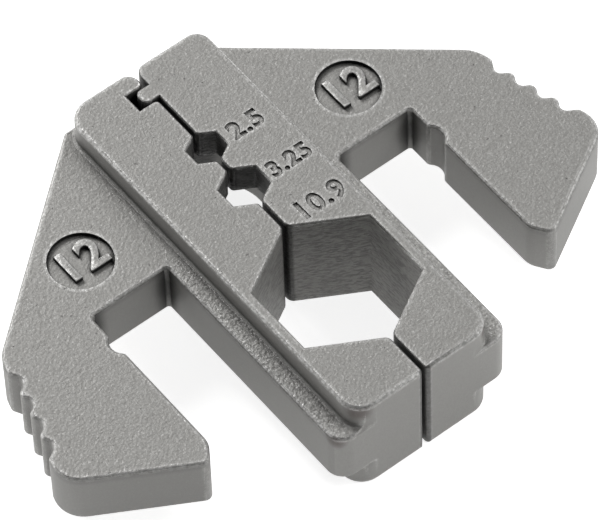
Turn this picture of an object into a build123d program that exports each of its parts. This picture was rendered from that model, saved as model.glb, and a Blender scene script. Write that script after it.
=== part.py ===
import os
from math import cos, radians, sin, sqrt, tan

from build123d import *

# A pair of sintered steel crimping dies, shown nearly closed. Each half is one solid piece: a
# block whose face holds half of three hexagonal nests, and a thinner plate beside it that
# spreads into a wing with a hooked arm. The tool holds each half by its arm and its ledge.
# X runs across the parting plane, Y from the front end to the tongued end, Z up from the face
# that the pair rests on. The origin is on that face, mid-length, midway between the halves.
# Each half is drawn with its parting face at x = 0 and its front end at y = 0.

# Hexagonal nests, across flats
ferrule_nest_flats = 10.9
large_pin_nest_flats = 3.25
small_pin_nest_flats = 2.54

# Lands of the parting face, from the front end to the tongued end
front_land = 4.1
middle_land = 3.08
pin_land = 1.28
tail_land = 7.95

# Corners where a nest meets the parting face
ferrule_mouth_radius = 0.7
pin_mouth_radius = 0.35

# Block
block_height = 10.1
nest_wall = 0.95
front_corner_radius = 1.9
notched_rear_radius = 2.1
tongued_rear_radius = 1.3
block_edge_round = 0.3
nest_edge_chamfer = 0.15
parting_front_radius = 0.4
parting_rear_radius = 1.05
foot_radius = 0.3

# Relief under the two pin nests, open at the bottom
pin_rib = 2.85
relief_half_width = 4.1
relief_front_wall = 1.9
relief_past_small_nest = 3.5

# Tongue of one half and notch of the other
tongue_width = 1.45
tongue_length = 1.3
tongue_to_end = 1.85
tongue_tip_radius = 0.55
notch_mouth_radius = 0.4
tongue_side_clearance = 0.14
tongue_end_clearance = 0.36

# Plate with its ledge, slot and arm
plate_thickness = 5.4
ledge_width = 1.62
ledge_corner_radius = 1.5
slot_width = 7.1
slot_end = 20.75
slot_corner_radius = 0.3
arm_width = 10.7
arm_tip = 4.2
arm_front_angle = 30
arm_side_angle = 15.3
shoulder_angle = 50.1
arm_outer_radius = 2.4
shoulder_radius = 3.0
upper_edge_chamfer = 0.25
lower_edge_chamfer = 0.4

# Slanted cut across the arm's inner tip
tip_cut_side = 2.25
tip_cut_front = 1.25
tip_side_radius = 1.8
tip_front_radius = 0.6

# Grip teeth on the outer side of the arm, as many as fit before the shoulder
tooth_pitch = 2.05
tooth_flank_angle = 44
tooth_valley_radius = 0.6
tooth_crest_radius = 0.55
first_valley = 3.4
teeth_to_shoulder = 1.6

# Detent in the inner side of the arm
detent_radius = 1.15
detent_depth = 0.5
detent_place = 17.6
detent_mouth_radius = 0.5

# Shallow round field for the size code on the plate's top face
field_radius = 2.6
field_depth = 0.35
field_out = 12.7
field_along = 25.3

# Gap between the parting faces as the pair lies
rest_gap = 0.3

# How near an edge or a face lies to where it is looked for
tolerance = 0.001

# Nests along the parting face. A hexagon stands with a corner on the parting plane at each side.
ferrule_reach = ferrule_nest_flats / sqrt(3)
large_pin_reach = large_pin_nest_flats / sqrt(3)
small_pin_reach = small_pin_nest_flats / sqrt(3)
ferrule_place = front_land + ferrule_reach
large_pin_place = ferrule_place + ferrule_reach + middle_land + large_pin_reach
small_pin_place = large_pin_place + large_pin_reach + pin_land + small_pin_reach
block_length = small_pin_place + small_pin_reach + tail_land

block_width = ferrule_nest_flats / 2 + nest_wall
step = (block_height - plate_thickness) / 2
ledge_side = block_width + ledge_width
arm_side = ledge_side + slot_width
tongue_place = block_length - tongue_to_end - tongue_width / 2
overrun = block_width


def near(shape, x, y):
    # The corner of a flat outline nearest to a point
    return shape.vertices().sort_by_distance((x, y, 0))[0]


def rounded(shape, corners, radius):
    return fillet([near(shape, x, y) for x, y in corners], radius)


def block_body(rear_radius):
    # The block runs past the parting plane and is cut back to it later.
    outline = Pos(0, block_length / 2) * Rectangle(2 * block_width, block_length)
    outline = rounded(outline, [(block_width, 0)], front_corner_radius)
    outline = rounded(outline, [(block_width, block_length)], rear_radius)
    block = extrude(outline, block_height)
    rims = block.edges().group_by(Axis.Z)
    outer = [edge for edge in rims[0] + rims[-1] if edge.center().X > tolerance - block_width]
    return fillet(outer, block_edge_round)


def tooth_points(corner, along, reach):
    # Zigzag along the arm's outer side, from the front corner back towards the shoulder
    inward = Vector(-along.Y, along.X)
    depth = tooth_pitch / 2 * tan(radians(tooth_flank_angle))
    count = int((reach - teeth_to_shoulder - first_valley) / tooth_pitch + 0.5)
    crests = []
    valleys = []
    for index in range(count + 1):
        crests.append(corner + along * (first_valley + tooth_pitch * (index - 0.5)))
    for index in range(count):
        valleys.append(corner + along * (first_valley + tooth_pitch * index) + inward * depth)
    return crests, valleys


def plate_body():
    rise = arm_width * tan(radians(arm_front_angle))
    arm_corner = Vector(arm_side + arm_width, arm_tip + rise)

    # The tip's inner corner is cut off from a point on its side to a point on its front edge.
    front_run = Vector(cos(radians(arm_front_angle)), sin(radians(arm_front_angle)))
    tip_side = Vector(arm_side, arm_tip + tip_cut_side)
    tip_front = Vector(arm_side, arm_tip) + front_run * tip_cut_front

    # The shoulder is where the arm's outer side meets the sloping rear edge.
    along = Vector(-sin(radians(arm_side_angle)), cos(radians(arm_side_angle)))
    slope = Vector(sin(radians(shoulder_angle)), -cos(radians(shoulder_angle)))
    gap = Vector(block_width, block_length) - arm_corner
    reach = (gap.X * slope.Y - gap.Y * slope.X) / (along.X * slope.Y - along.Y * slope.X)
    shoulder = arm_corner + along * reach

    crests, valleys = tooth_points(arm_corner, along, reach)
    zigzag = [crests[0]]
    for valley, crest in zip(valleys, crests[1:]):
        zigzag += [valley, crest]
    points = [(0, 0), (ledge_side, 0), (ledge_side, slot_end), (arm_side, slot_end)]
    points += [(point.X, point.Y) for point in [tip_side, tip_front, arm_corner] + zigzag]
    points += [(shoulder.X, shoulder.Y), (block_width, block_length), (0, block_length)]
    outline = Polygon(*points, align=None)

    outline = rounded(outline, [(ledge_side, 0)], ledge_corner_radius)
    slot_corners = [(ledge_side, slot_end), (arm_side, slot_end)]
    outline = rounded(outline, slot_corners, slot_corner_radius)
    outline = rounded(outline, [(tip_side.X, tip_side.Y)], tip_side_radius)
    outline = rounded(outline, [(tip_front.X, tip_front.Y)], tip_front_radius)
    outline = rounded(outline, [(arm_corner.X, arm_corner.Y)], arm_outer_radius)
    outline = rounded(outline, [(shoulder.X, shoulder.Y)], shoulder_radius)
    outline = rounded(outline, [(point.X, point.Y) for point in crests], tooth_crest_radius)
    outline = rounded(outline, [(point.X, point.Y) for point in valleys], tooth_valley_radius)

    detent_centre = arm_side + detent_depth - detent_radius
    outline -= Pos(detent_centre, detent_place) * Circle(detent_radius)
    half_mouth = sqrt(detent_radius**2 - (detent_radius - detent_depth) ** 2)
    mouth = [(arm_side, detent_place + side * half_mouth) for side in (-1, 1)]
    outline = rounded(outline, mouth, detent_mouth_radius)

    plate = Pos(0, 0, step) * extrude(outline, plate_thickness)
    for rim, size in ((-1, upper_edge_chamfer), (0, lower_edge_chamfer)):
        edges = plate.edges().group_by(Axis.Z)[rim]
        plate = chamfer([edge for edge in edges if edge.center().X > tolerance], size)
    return plate


def end_corner(radius):
    # What rounding takes from an upright edge where the parting face meets an end
    corner = Pos(radius / 2, radius / 2) * Rectangle(radius, radius)
    corner -= Pos(radius, radius) * Circle(radius)
    cut = extrude(corner, block_height)
    height = nest_edge_chamfer
    rim = Pos(radius / 2, radius / 2) * Box(radius, radius, height)
    rim -= Pos(radius, radius) * Cone(radius, radius - height, height)
    rim = Pos(0, 0, block_height - height / 2) * rim
    return cut + rim + mirror(rim, about=Plane.XY.offset(block_height / 2))


def parting_region(tongued):
    # All that lies beyond the parting face: the other half's side, the nests, and the notch
    length = block_length + 2 * overrun
    region = Pos(-overrun, block_length / 2) * Rectangle(2 * overrun, length)
    nests = [
        (ferrule_place, ferrule_reach, ferrule_mouth_radius),
        (large_pin_place, large_pin_reach, pin_mouth_radius),
        (small_pin_place, small_pin_reach, pin_mouth_radius),
    ]
    for place, reach, mouth_radius in nests:
        region += Pos(0, place) * RegularPolygon(reach, 6, rotation=90)
        region = rounded(region, [(0, place - reach), (0, place + reach)], mouth_radius)
    if tongued:
        tongue = Pos(0, tongue_place) * Rectangle(2 * tongue_length, tongue_width)
        ends = [(-tongue_length, tongue_place + side * tongue_width / 2) for side in (-1, 1)]
        region -= rounded(tongue, ends, tongue_tip_radius)
    else:
        depth = tongue_length + tongue_end_clearance
        width = tongue_width + 2 * tongue_side_clearance
        region += Pos(0, tongue_place) * Rectangle(2 * depth, width)
        mouth = [(0, tongue_place + side * width / 2) for side in (-1, 1)]
        region = rounded(region, mouth, notch_mouth_radius)
    return region


def relief():
    front = ferrule_place + ferrule_reach + relief_front_wall
    rear = small_pin_place + relief_past_small_nest
    outline = SlotOverall(rear - front, 2 * relief_half_width, rotation=90)
    return extrude(Pos(0, (front + rear) / 2) * outline, block_height - pin_rib)


def step_foot(plate, rear_radius):
    # Concave fillet where the block rises from the plate, round both of the block's corners
    square = Pos(foot_radius / 2, foot_radius / 2) * Rectangle(foot_radius, foot_radius)
    profile = square - Pos(foot_radius, foot_radius) * Circle(foot_radius)
    front = front_corner_radius
    rear = block_length - rear_radius
    at_front, at_rear = [
        Plane((block_width, y, step + plate_thickness), x_dir=(1, 0, 0), z_dir=(0, -1, 0)) * profile
        for y in (front, rear)
    ]
    foot = extrude(at_rear, rear - front)
    foot += revolve(at_front, Axis((block_width - front_corner_radius, front, 0), (0, 0, 1)), -90)
    foot += revolve(at_rear, Axis((block_width - rear_radius, rear, 0), (0, 0, 1)), 90)
    footing = plate.faces().sort_by(Axis.Z)[-1]
    foot &= extrude(footing, foot_radius)
    return foot + mirror(foot, about=Plane.XY.offset(block_height / 2))


def upright_rim(half, height):
    # Edges where upright walls meet a flat face at this height
    walls = [face for face in half.faces() if abs(face.normal_at().Z) < tolerance]
    edges = ShapeList(edge for wall in walls for edge in wall.edges())
    return edges.filter_by_position(Axis.Z, height - tolerance, height + tolerance)


def half_die(tongued):
    rear_radius = tongued_rear_radius if tongued else notched_rear_radius
    plate = plate_body()
    half = block_body(rear_radius) + plate + step_foot(plate, rear_radius)
    half -= extrude(parting_region(tongued), block_height)
    half -= relief()
    rims = upright_rim(half, 0) + upright_rim(half, block_height)
    half = chamfer(rims, nest_edge_chamfer)
    half -= end_corner(parting_front_radius)
    half -= Pos(0, block_length) * mirror(end_corner(parting_rear_radius), about=Plane.XZ)
    field = Pos(field_out, field_along, step + plate_thickness)
    return half - field * Cylinder(field_radius, 2 * field_depth)


os.makedirs("parts", exist_ok=True)
notched = mirror(half_die(False), about=Plane.YZ)
notched = Pos(-rest_gap / 2, -block_length / 2) * notched
tongued = Pos(rest_gap / 2, -block_length / 2) * half_die(True)
export_step(notched, "parts/notched_die_half.step")
export_step(tongued, "parts/tongued_die_half.step")
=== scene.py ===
import math

import bmesh
import bpy
from mathutils import Matrix, Vector


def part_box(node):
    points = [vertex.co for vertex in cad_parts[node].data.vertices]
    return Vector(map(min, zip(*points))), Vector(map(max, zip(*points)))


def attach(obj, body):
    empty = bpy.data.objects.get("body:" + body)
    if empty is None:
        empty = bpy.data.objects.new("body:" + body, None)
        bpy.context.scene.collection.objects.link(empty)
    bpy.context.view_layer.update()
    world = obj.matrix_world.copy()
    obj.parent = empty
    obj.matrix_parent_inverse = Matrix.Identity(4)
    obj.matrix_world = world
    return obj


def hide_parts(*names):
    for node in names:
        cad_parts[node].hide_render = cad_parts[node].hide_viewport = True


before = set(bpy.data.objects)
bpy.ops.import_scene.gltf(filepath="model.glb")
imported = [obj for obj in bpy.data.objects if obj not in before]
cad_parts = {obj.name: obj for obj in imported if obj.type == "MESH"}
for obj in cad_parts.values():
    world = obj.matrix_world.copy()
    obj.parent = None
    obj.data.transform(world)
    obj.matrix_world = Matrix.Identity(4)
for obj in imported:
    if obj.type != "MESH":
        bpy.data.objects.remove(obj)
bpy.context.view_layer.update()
mm = 0.001
print("frame loaded:", sorted(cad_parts))

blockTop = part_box("notched_die_half")[1].z  # both blocks are as high
plateTop = 7.75  # mm, and the ledges' top too


def addNode(tree, kind, inputs=None, **settings):
    node = tree.nodes.new(kind)
    for name, value in settings.items():
        setattr(node, name, value)
    for name, value in (inputs or {}).items():
        if isinstance(value, bpy.types.NodeSocket):
            tree.links.new(value, node.inputs[name])
        else:
            node.inputs[name].default_value = value
    return node


def maths(tree, operation, first, second=0.0):
    return addNode(tree, "ShaderNodeMath", {0: first, 1: second}, operation=operation).outputs[0]


def times(tree, value, *others):
    for other in others:
        value = maths(tree, "MULTIPLY", value, other)
    return value


def mapped(tree, value, low, high, start=0.0, end=1.0):
    inputs = {0: value, 1: low, 2: high, 3: start, 4: end}
    return addNode(tree, "ShaderNodeMapRange", inputs, interpolation_type="SMOOTHSTEP").outputs[0]


def faded(tree, value, low, high, start=0.0, end=1.0):
    return mapped(tree, value, low * mm, high * mm, start, end)


def between(tree, value, low, high):
    above = maths(tree, "GREATER_THAN", value, low * mm)
    return times(tree, above, maths(tree, "LESS_THAN", value, high * mm))


def nearTo(tree, place, middle, reach, core):
    inputs = {0: place, 1: [value * mm for value in middle]}
    away = addNode(tree, "ShaderNodeVectorMath", inputs, operation="DISTANCE").outputs["Value"]
    return faded(tree, away, reach, core)


def mixed(tree, share, first, second):
    inputs = {0: share, 6: first, 7: second}
    return addNode(tree, "ShaderNodeMix", inputs, data_type="RGBA").outputs[2]


def noise(tree, place, size, detail=2.0, roughness=0.5, distortion=0.0):
    inputs = {"Vector": place, "Scale": 1 / (size * mm), "Detail": detail, "Roughness": roughness}
    inputs["Distortion"] = distortion
    return addNode(tree, "ShaderNodeTexNoise", inputs).outputs[0]


# The camera stands off to the left of the front end, above the pair.
cameraSetup = {
    "place": (-149.3, -205.7, 365.8),  # mm
    "turn": (35.095, 1.321, -38.262),  # degrees
    "sensor": 36,
    "lens": 350.0,
    "shift": (-0.0027, 0.0003),
}


def makeCamera():
    data = bpy.data.cameras.new("camera")
    camera = bpy.data.objects.new("camera", data)
    camera.location = [value * mm for value in cameraSetup["place"]]
    camera.rotation_euler = [math.radians(value) for value in cameraSetup["turn"]]
    data.sensor_width = cameraSetup["sensor"]
    data.lens = cameraSetup["lens"]
    data.shift_x, data.shift_y = cameraSetup["shift"]
    bpy.context.scene.collection.objects.link(camera)
    bpy.context.scene.camera = camera


# Round soft lamps, all as far from the pair, by direction and height in degrees
lampSetup = {
    "overhead": {"direction": 0, "height": 90, "power": 0.15},
    "middleRight": {"direction": 0, "height": 40, "power": 0.45},
    "middleRear": {"direction": 90, "height": 40, "power": 4.00},
    "lowRearLeft": {"direction": 135, "height": 12, "power": 1.14},
    "lowFrontRight": {"direction": 330, "height": 20, "power": 0.50},
    "middleFrontRight": {"direction": 320, "height": 45, "power": 1.83},
}
lampDistance = 750  # mm
lampWidth = 350


def makeLamps():
    for name, lamp in lampSetup.items():
        data = bpy.data.lights.new(name, "AREA")
        data.shape = "DISK"
        data.size = lampWidth * mm
        data.energy = lamp["power"]
        light = bpy.data.objects.new(name, data)
        level = Vector((lampDistance * mm, 0, 0))
        raised = Matrix.Rotation(-math.radians(lamp["height"]), 3, "Y") @ level
        light.location = Matrix.Rotation(math.radians(lamp["direction"]), 3, "Z") @ raised
        light.rotation_euler = light.location.to_track_quat("Z", "Y").to_euler()
        bpy.context.scene.collection.objects.link(light)


# All light comes from the lamps and the floor.
def makeWorld():
    world = bpy.data.worlds.new("studio")
    world.use_nodes = True
    background = world.node_tree.nodes["Background"]
    background.inputs["Strength"].default_value = 0
    bpy.context.scene.world = world


floorSetup = {
    "width": 1600,  # mm
    "gap": 0.02,
    "colour": (0.72, 0.72, 0.72, 1),
    "lift": 0.84,
}


# The floor glows a little for the camera and in reflections, and keeps the shadow.
def makePaper():
    material = bpy.data.materials.new("paleFloor")
    material.use_nodes = True
    tree = material.node_tree
    tree.nodes.clear()
    ray = addNode(tree, "ShaderNodeLightPath").outputs
    seen = maths(tree, "ADD", ray["Is Camera Ray"], ray["Is Glossy Ray"])
    seen = maths(tree, "ADD", seen, ray["Is Transmission Ray"])
    glow = {"Strength": times(tree, seen, floorSetup["lift"])}
    glow = addNode(tree, "ShaderNodeEmission", glow).outputs[0]
    paper = addNode(tree, "ShaderNodeBsdfDiffuse", {"Color": floorSetup["colour"]}).outputs[0]
    both = addNode(tree, "ShaderNodeAddShader", {0: glow, 1: paper}).outputs[0]
    addNode(tree, "ShaderNodeOutputMaterial", {"Surface": both})
    return material


def makeFloor():
    bm = bmesh.new()
    under = Matrix.Translation((0, 0, -floorSetup["gap"] * mm))
    reach = floorSetup["width"] / 2 * mm
    bmesh.ops.create_grid(bm, x_segments=1, y_segments=1, size=reach, matrix=under)
    mesh = bpy.data.meshes.new("floor")
    bm.to_mesh(mesh)
    bm.free()
    mesh.materials.append(makePaper())
    floor = bpy.data.objects.new("floor", mesh)
    bpy.context.scene.collection.objects.link(floor)


bpy.context.scene.view_settings.view_transform = "Standard"
makeCamera()
makeLamps()
makeWorld()
makeFloor()
print("stage made")

# Pressed and sintered steel, with sizes and places in millimetres. A pair named Range or Fade
# says where a mask starts and where it is full, and a pair named ByFace gives its shares on the
# walls and on the flats.
steelSetup = {
    "paleColour": (0.402, 0.397, 0.382, 1),
    "darkColour": (0.316, 0.310, 0.296, 1),
    # Pale speckle and wear, and painted glints and edge highlights
    "paleMarkAndHighlightColour": (0.86, 0.855, 0.84, 1),
    # Dark pits and speckles, and painted shade in corners and creases
    "darkMarkAndShadeColour": (0.10, 0.098, 0.095, 1),
    "blackColour": (0.015, 0.015, 0.014, 1),
    "darkPatchColour": (0.13, 0.108, 0.10, 1),
    "metallic": 0.4,
    "roughness": 0.55,
    "wornRoughness": 0.40,
    "cornerShadeRoughness": 0.3,  # added where the painted corner shade lies
    "flatRange": (0.80, 0.98),
    "uprightRange": (0.3, 0.1),
    "ledgeEdges": (6.7, 8.3),
    "ledgeRear": 2.9,
    "ledgeLevels": (plateTop - 0.3, plateTop + 0.1),
    "grain": {"size": 0.24, "detail": 3.0, "roughness": 0.55, "distortion": 0.2},
    "grainByFace": (0.20, 1.0),
    "grainBump": 0.055,
    "lumps": {"size": 0.7, "detail": 2.0, "distortion": 0.3},
    "lumpHeight": 0.4,  # of the grain's
    "pits": {"size": 0.40, "detail": 1.0},
    "pitRange": (0.76, 0.80),
    "pitsByFace": (0.1, 1.0),
    "pitDepth": 0.8,
    # Bright specks painted as glints on the grain
    "paintedGlints": {"size": 0.17, "detail": 1.0},
    "glintRange": (0.64, 0.72),
    "ridgeSize": (0.65, 0.65, 0.19),
    "ridges": {"Detail": 3.0, "Roughness": 0.6, "Distortion": 0.5},
    "ridgeBump": 0.10,
    "furrowRange": (0.60, 0.38),
    "nestReach": 5.9,
    "nestFront": -13.9,
    "nestRear": -1.15,
    "pinFade": (3.12, 2.08),
    "pinRear": 16.4,
    # Painted shade in corners, from how open the surface is around it
    "cornerShadeReach": 2.2,
    "cornerShadeRange": (0.88, 0.46),
    "cornerShadeByFace": (0.92, 0.26),
    # Painted shade, near black, in the deepest gaps
    "deepShadeRange": (0.72, 0.42),
    # Painted shade in narrow creases and grooves
    "creaseShadeReach": 0.45,
    "creaseShadeRange": (0.85, 0.45),
    "creaseShadeByFace": (0.8, 0.3),
    "nearSamples": 8,
    "edgeReach": 0.5,
    "edgeSamples": 6,
    "bendRange": (0.9995, 0.98),
    "slantLowRange": (0.35, 0.65),
    "slantHighRange": (0.99, 0.90),
    "freeRange": (0.80, 0.95),
    "wear": {"size": 0.28, "detail": 3.0, "roughness": 0.6},
    "wearRange": (0.38, 0.60),
    "wearLimits": (0.2, 1.0),
    "darkPatches": (((-5.9, -17.3, 9.5), 1.4), ((-7.9, -17.1, 7.3), 1.1), ((5.9, -17.3, 9.3), 0.8)),
    "darkPatchCore": 0.2,  # of each smudge's reach
    "slotSides": (8.17, 15.27),
    "slotEnd": 2.91,
    # Painted shade in the slots' inner corners
    "slotCornerShadeFade": (1.6, 0.2),
    # Painted shade on the parting faces between the halves
    "partingShadeFade": (0.62, 0.42),
    "bandFade": (6.8, 7.5),
    "bandLimits": (0.3, 1.0),
    "bandInner": 8.0,
    "fine": {"size": 0.13, "detail": 2.0, "roughness": 0.6},
    "fineAndLumps": (0.82, 0.18),
    "toneRange": (0.34, 0.66),
    "toneByFace": (0.30, 1.0),
    "speckle": {"size": 0.20, "detail": 2.0, "roughness": 0.6},
    "darkSpeckleRange": (0.48, 0.36),
    "paleSpeckleRange": (0.54, 0.66),
}

# What lies on the mottled steel, from the lowest layer up: mask, share and colour
steelLayers = (
    ("darkSpeckle", 0.30, "darkMarkAndShadeColour"),
    ("paleSpeckle", 0.28, "paleMarkAndHighlightColour"),
    ("darkPatch", 0.8, "darkPatchColour"),
    # painted glints on the grain
    ("paintedGlints", 0.3, "paleMarkAndHighlightColour"),
    # painted shade in the pin nests
    ("pinNestShade", 0.6, "blackColour"),
    ("furrows", 0.40, "blackColour"),
    # wear on free edges, partly a painted highlight
    ("wornAndHighlit", 0.68, "paleMarkAndHighlightColour"),
    ("pits", 0.45, "darkMarkAndShadeColour"),
    # painted shade in corners
    ("cornerShade", 1.0, "darkMarkAndShadeColour"),
    ("band", 0.40, "darkMarkAndShadeColour"),
    # painted shade in creases
    ("creaseShade", 1.0, "darkMarkAndShadeColour"),
    # painted shade in the slots' inner corners
    ("slotCornerShade", 0.6, "blackColour"),
    # painted shade between the halves
    ("partingShade", 0.65, "blackColour"),
    # painted shade, near black, in the deepest gaps
    ("depth", 1.0, "blackColour"),
)


# Where a point of the surface lies, and which way it faces
def readPlace(tree):
    coordinates = addNode(tree, "ShaderNodeTexCoord").outputs
    spot = addNode(tree, "ShaderNodeSeparateXYZ", {0: coordinates["Object"]}).outputs
    facing = addNode(tree, "ShaderNodeSeparateXYZ", {0: coordinates["Normal"]}).outputs
    level = maths(tree, "ABSOLUTE", facing["Z"])
    return {
        "place": coordinates["Object"],
        "across": maths(tree, "ABSOLUTE", spot["X"]),
        "along": spot["Y"],
        "up": spot["Z"],
        "level": level,
        "flat": mapped(tree, level, *steelSetup["flatRange"]),
        "upright": mapped(tree, level, *steelSetup["uprightRange"]),
    }


def byFace(tree, at, shares):
    return mapped(tree, at["flat"], 0.0, 1.0, *shares)


def offFlats(tree, at):
    return maths(tree, "SUBTRACT", 1.0, at["flat"])


# The ledges are rougher than the rest.
def ledgeMask(tree, at):
    setup = steelSetup
    beside = between(tree, at["across"], *setup["ledgeEdges"])
    inFront = maths(tree, "LESS_THAN", at["along"], setup["ledgeRear"] * mm)
    return times(tree, beside, inFront, between(tree, at["up"], *setup["ledgeLevels"]))


# Pebbled grain with small pits, and bright specks that are painted glints, full on the flats and faint
# on the walls
def grainMasks(tree, at, ledge):
    setup = steelSetup
    place = at["place"]
    lumps = noise(tree, place, **setup["lumps"])
    share = maths(tree, "ADD", byFace(tree, at, setup["grainByFace"]), ledge)
    pits = mapped(tree, noise(tree, place, **setup["pits"]), *setup["pitRange"])
    pits = times(tree, pits, byFace(tree, at, setup["pitsByFace"]))
    paintedGlints = mapped(tree, noise(tree, place, **setup["paintedGlints"]), *setup["glintRange"])
    height = noise(tree, place, **setup["grain"])
    height = maths(tree, "ADD", height, times(tree, lumps, setup["lumpHeight"]))
    height = times(tree, height, share)
    height = maths(tree, "SUBTRACT", height, times(tree, pits, setup["pitDepth"]))
    return {"lumps": lumps, "pits": pits, "paintedGlints": times(tree, paintedGlints, share), "grainHeight": height}


# Ridges across the draw of the nests. Painted shade darkens the walls of the pin nests and the notch
# beside them.
def nestMasks(tree, at):
    setup = steelSetup
    stretch = [1 / (size * mm) for size in setup["ridgeSize"]]
    drawn = addNode(tree, "ShaderNodeMapping", {"Vector": at["place"], "Scale": stretch}).outputs[0]
    inputs = {"Vector": drawn, "Scale": 1.0, **setup["ridges"]}
    ridges = addNode(tree, "ShaderNodeTexNoise", inputs).outputs[0]
    inNest = between(tree, at["along"], setup["nestFront"], setup["nestRear"])
    beside = maths(tree, "LESS_THAN", at["across"], setup["nestReach"] * mm)
    inNest = times(tree, inNest, beside, at["upright"])
    inPins = between(tree, at["along"], setup["nestRear"], setup["pinRear"])
    inPins = times(tree, inPins, faded(tree, at["across"], *setup["pinFade"]), at["upright"])
    drawnFaces = maths(tree, "ADD", inNest, inPins)
    furrows = times(tree, mapped(tree, ridges, *setup["furrowRange"]), drawnFaces)
    return {"pinNestShade": inPins, "furrows": furrows, "ridgeHeight": times(tree, ridges, drawnFaces)}


def openness(tree, reach):
    inputs = {"Distance": reach * mm}
    samples = steelSetup["nearSamples"]
    near = addNode(tree, "ShaderNodeAmbientOcclusion", inputs, samples=samples, only_local=True)
    return near.outputs["AO"]


# How well the surface agrees with one that is rounded at the edges: 1 away from them, less beside them
def edgeBend(tree):
    setup = steelSetup
    inputs = {"Radius": setup["edgeReach"] * mm}
    rounded = addNode(tree, "ShaderNodeBevel", inputs, samples=setup["edgeSamples"]).outputs[0]
    normal = addNode(tree, "ShaderNodeNewGeometry").outputs["Normal"]
    inputs = {0: rounded, 1: normal}
    return addNode(tree, "ShaderNodeVectorMath", inputs, operation="DOT_PRODUCT").outputs["Value"]


# Painted shade darkens narrow corners, creases and the deepest gaps, and edges that stand free are
# worn bright in places, which is partly a painted highlight.
def edgeMasks(tree, at):
    setup = steelSetup
    around = openness(tree, setup["cornerShadeReach"])
    cornerShade = mapped(tree, around, *setup["cornerShadeRange"])
    creaseShade = mapped(tree, openness(tree, setup["creaseShadeReach"]), *setup["creaseShadeRange"])
    slanted = mapped(tree, at["level"], *setup["slantLowRange"])
    slanted = times(tree, slanted, mapped(tree, at["level"], *setup["slantHighRange"]))
    rim = maths(tree, "MAXIMUM", mapped(tree, edgeBend(tree), *setup["bendRange"]), slanted)
    rim = times(tree, rim, mapped(tree, around, *setup["freeRange"]))
    wear = noise(tree, at["place"], **setup["wear"])
    wear = mapped(tree, wear, *setup["wearRange"], *setup["wearLimits"])
    return {
        # Painted shade in corners
        "cornerShade": times(tree, cornerShade, byFace(tree, at, setup["cornerShadeByFace"])),
        # Painted shade in creases
        "creaseShade": times(tree, creaseShade, byFace(tree, at, setup["creaseShadeByFace"])),
        # Wear on free edges, partly a painted highlight on the roundings
        "wornAndHighlit": times(tree, rim, wear),
        # Painted shade, near black, in the deepest gaps
        "depth": mapped(tree, around, *setup["deepShadeRange"]),
    }


# Walls near some front corners are darker. Each dark patch has a middle and a reach.
def darkPatchMask(tree, at):
    darkPatch = 0.0
    for middle, reach in steelSetup["darkPatches"]:
        near = nearTo(tree, at["place"], middle, reach, reach * steelSetup["darkPatchCore"])
        darkPatch = maths(tree, "MAXIMUM", near, darkPatch)
    return times(tree, darkPatch, offFlats(tree, at))


# Painted shade darkens the slots' inner corners.
def slotCornerShadeMask(tree, at):
    setup = steelSetup
    inputs = {"X": at["across"], "Y": at["along"]}
    fromAbove = addNode(tree, "ShaderNodeCombineXYZ", inputs).outputs[0]
    inCorner = 0.0
    for side in setup["slotSides"]:
        near = nearTo(tree, fromAbove, (side, setup["slotEnd"], 0), *setup["slotCornerShadeFade"])
        inCorner = maths(tree, "MAXIMUM", near, inCorner)
    return times(tree, inCorner, at["upright"])


# Painted shade darkens the parting faces and the edges beside them.
def partingShadeMask(tree, at):
    partingShade = faded(tree, at["across"], *steelSetup["partingShadeFade"])
    return times(tree, partingShade, offFlats(tree, at))


# The plate's walls are darker in a band under the chamfer.
def bandMask(tree, at):
    setup = steelSetup
    band = faded(tree, at["up"], *setup["bandFade"], *setup["bandLimits"])
    outside = maths(tree, "GREATER_THAN", at["across"], setup["bandInner"] * mm)
    return times(tree, band, at["upright"], outside)


# A dark and a pale speckle on the ledges
def speckleMasks(tree, at, ledge):
    setup = steelSetup
    speckle = noise(tree, at["place"], **setup["speckle"])
    return {
        "darkSpeckle": times(tree, mapped(tree, speckle, *setup["darkSpeckleRange"]), ledge),
        "paleSpeckle": times(tree, mapped(tree, speckle, *setup["paleSpeckleRange"]), ledge),
    }


# Fine mottling, calmer on the walls
def mottledColour(tree, at, lumps):
    setup = steelSetup
    fineShare, lumpShare = setup["fineAndLumps"]
    fine = noise(tree, at["place"], **setup["fine"])
    tone = maths(tree, "ADD", times(tree, fine, fineShare), times(tree, lumps, lumpShare))
    tone = mapped(tree, tone, *setup["toneRange"])
    inputs = {0: byFace(tree, at, setup["toneByFace"]), 2: 0.5, 3: tone}
    tone = addNode(tree, "ShaderNodeMix", inputs).outputs[0]
    return mixed(tree, tone, setup["darkColour"], setup["paleColour"])


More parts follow.
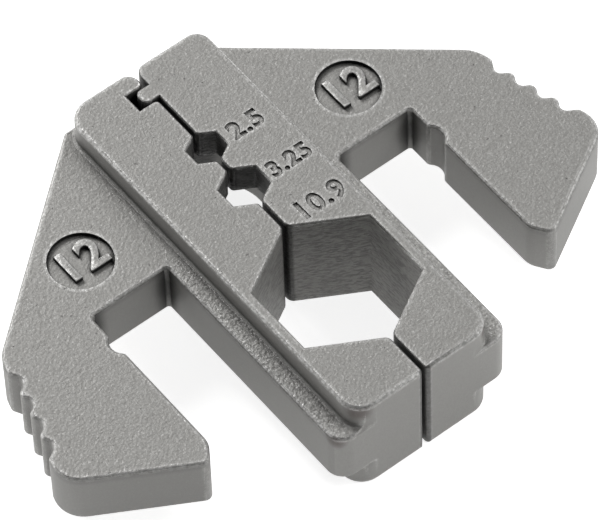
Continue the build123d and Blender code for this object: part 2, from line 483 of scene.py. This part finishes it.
def makeSteel():
    setup = steelSetup
    material = bpy.data.materials.new("sinteredSteel")
    material.use_nodes = True
    tree = material.node_tree
    shader = tree.nodes["Principled BSDF"]
    at = readPlace(tree)
    ledge = ledgeMask(tree, at)
    masks = {
        **grainMasks(tree, at, ledge),
        **nestMasks(tree, at),
        **edgeMasks(tree, at),
        **speckleMasks(tree, at, ledge),
        "darkPatch": darkPatchMask(tree, at),
        "slotCornerShade": slotCornerShadeMask(tree, at),
        "partingShade": partingShadeMask(tree, at),
        "band": bandMask(tree, at),
    }

    colour = mottledColour(tree, at, masks["lumps"])
    for name, share, layerColour in steelLayers:
        colour = mixed(tree, times(tree, masks[name], share), colour, setup[layerColour])
    tree.links.new(colour, shader.inputs["Base Color"])
    finish = mapped(tree, masks["wornAndHighlit"], 0.0, 1.0, setup["roughness"], setup["wornRoughness"])
    finish = maths(tree, "ADD", finish, times(tree, masks["cornerShade"], setup["cornerShadeRoughness"]))
    tree.links.new(finish, shader.inputs["Roughness"])
    shader.inputs["Metallic"].default_value = setup["metallic"]

    inputs = {"Height": masks["ridgeHeight"], "Distance": setup["ridgeBump"] * mm}
    bump = addNode(tree, "ShaderNodeBump", inputs).outputs[0]
    inputs = {"Height": masks["grainHeight"], "Distance": setup["grainBump"] * mm, "Normal": bump}
    bump = addNode(tree, "ShaderNodeBump", inputs).outputs[0]
    tree.links.new(bump, shader.inputs["Normal"])
    return material


meshSetup = {
    "mergeReach": 0.0005,  # mm
    "flatAngle": 0.3,  # degrees, under which faces are joined
    "sharpAngle": 50,
}

numberSetup = {
    "digitShare": 0.7,  # a digit's height in the font's size
    "spacing": 1.12,  # keeps neighbouring digits apart
    "slopeSteps": 1,
    "curveSteps": 6,
}

# Plain numbers beside the nests. Sizes are in millimetres and places count from the pair's origin.
sizeMarks = {
    "2.5": {"place": (3.6, 8.25), "height": 1.55},
    "3.25": {"place": (4.1, 3.55), "height": 1.4},
    "10.9": {"place": (3.55, -0.85), "height": 1.65},
}
markSetup = {"depth": 0.16, "slope": 0.08, "thicken": 0.09}

# A plain number stands on the floor of each round field.
fieldSetup = {
    "number": "12",
    "place": (12.85, 7.459),
    "height": 2.7,
    "floor": 7.40,
    "sink": 0.10,
    "slope": 0.05,
    "thicken": 0.13,
}


def numberMesh(words, height, thickness, slope, thicken):
    curve = bpy.data.curves.new("number", "FONT")
    curve.body = words
    curve.align_x = "CENTER"
    curve.align_y = "CENTER"
    curve.space_character = numberSetup["spacing"]
    curve.size = height / numberSetup["digitShare"] * mm
    curve.offset = (thicken - slope) * mm
    curve.extrude = (thickness / 2 - slope) * mm
    curve.bevel_depth = slope * mm
    curve.bevel_resolution = numberSetup["slopeSteps"]
    curve.resolution_u = numberSetup["curveSteps"]
    number = bpy.data.objects.new("number", curve)
    mesh = bpy.data.meshes.new_from_object(number)
    bpy.data.objects.remove(number)
    bm = bmesh.new()
    bm.from_mesh(mesh)
    bmesh.ops.remove_doubles(bm, verts=bm.verts, dist=meshSetup["mergeReach"] * mm)
    bmesh.ops.recalc_face_normals(bm, faces=bm.faces)
    bm.to_mesh(mesh)
    bm.free()
    return mesh


def cutOrAdd(half, mesh, place, operation):
    tool = bpy.data.objects.new("tool", mesh)
    mesh.transform(Matrix.Translation(Vector(place) * mm))
    bpy.context.scene.collection.objects.link(tool)
    step = half.modifiers.new("number", "BOOLEAN")
    step.operation = operation
    step.solver = "MANIFOLD"
    step.object = tool
    depsgraph = bpy.context.evaluated_depsgraph_get()
    shaped = bpy.data.meshes.new_from_object(half.evaluated_get(depsgraph))
    half.modifiers.remove(step)
    half.data = shaped
    bpy.data.objects.remove(tool)


def engraveMarks(half):
    setup = markSetup
    for words, mark in sizeMarks.items():
        mesh = numberMesh(words, mark["height"], 2 * setup["depth"], setup["slope"], setup["thicken"])
        cutOrAdd(half, mesh, (*mark["place"], blockTop / mm), "DIFFERENCE")


def raiseNumber(half, side):
    setup = fieldSetup
    thickness = plateTop - setup["floor"] + setup["sink"]
    mesh = numberMesh(setup["number"], setup["height"], thickness, setup["slope"], setup["thicken"])
    x, y = setup["place"]
    cutOrAdd(half, mesh, (side * x, y, plateTop - thickness / 2), "UNION")


halfSetup = {
    "notched_half": {"node": "notched_die_half", "body": "notched_half", "side": -1, "marks": False},
    "tongued_half": {"node": "tongued_die_half", "body": "tongued_half", "side": 1, "marks": True},
}


def mergedCopy(node, name):
    bm = bmesh.new()
    bm.from_mesh(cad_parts[node].data)
    bmesh.ops.remove_doubles(bm, verts=bm.verts, dist=meshSetup["mergeReach"] * mm)
    flatAngle = math.radians(meshSetup["flatAngle"])
    bmesh.ops.dissolve_limit(bm, angle_limit=flatAngle, verts=bm.verts, edges=bm.edges)
    mesh = bpy.data.meshes.new(name)
    bm.to_mesh(mesh)
    bm.free()
    if "custom_normal" in mesh.attributes:
        mesh.attributes.remove(mesh.attributes["custom_normal"])
    return mesh


def makeHalf(name, setup, steel):
    mesh = mergedCopy(setup["node"], name)
    mesh.materials.clear()
    mesh.materials.append(steel)
    half = bpy.data.objects.new(name, mesh)
    bpy.context.scene.collection.objects.link(half)
    if setup["marks"]:
        engraveMarks(half)
    raiseNumber(half, setup["side"])
    mesh = half.data
    mesh.name = name
    mesh.shade_smooth()
    mesh.set_sharp_from_angle(angle=math.radians(meshSetup["sharpAngle"]))
    normals = half.modifiers.new("weightedNormal", "WEIGHTED_NORMAL")
    normals.keep_sharp = True
    normals.weight = 100
    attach(half, setup["body"])
    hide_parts(setup["node"])
    print(name, "made,", len(mesh.polygons), "faces")


steel = makeSteel()
for halfName, halfParts in halfSetup.items():
    makeHalf(halfName, halfParts, steel)
